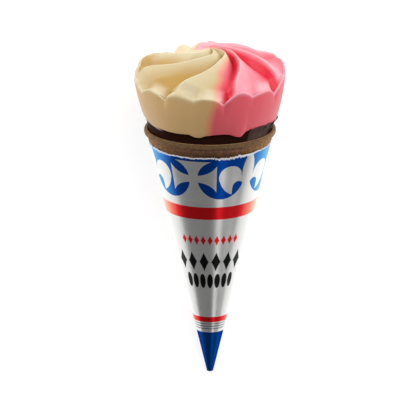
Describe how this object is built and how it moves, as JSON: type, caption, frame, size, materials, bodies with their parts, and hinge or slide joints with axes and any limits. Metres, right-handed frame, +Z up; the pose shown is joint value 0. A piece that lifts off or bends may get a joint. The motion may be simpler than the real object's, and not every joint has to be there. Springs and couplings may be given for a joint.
{
  "type": "ice cream cone",
  "caption": "Wafer cone in a printed foil sleeve, topped by a swirled vanilla and strawberry ice cream rosette over a dark chocolate lining, lying on its side.",
  "frame": {"origin": "bottom centre of the bounding box of the lying cone", "axes": "+Y from the tip toward the ice cream, +Z up toward the shown side, +X to the right seen from above with the ice cream away from the viewer"},
  "size_m": [0.0656, 0.1428, 0.0637],
  "materials": {
    "vanilla_ice_cream": "satin, soft frozen cream",
    "strawberry_ice_cream": "satin, soft frozen cream",
    "chocolate": "set chocolate, half gloss",
    "wafer": "baked, matt and grainy",
    "printed_foil": "satin foil printed blue and red"
  },
  "bodies": {
    "root": {"vanilla_ice_cream": "vanilla_ice_cream", "strawberry_ice_cream": "strawberry_ice_cream", "chocolate_lining": "chocolate", "wafer_cone": "wafer", "foil_sleeve": "printed_foil"}
  },
  "joints": []
}
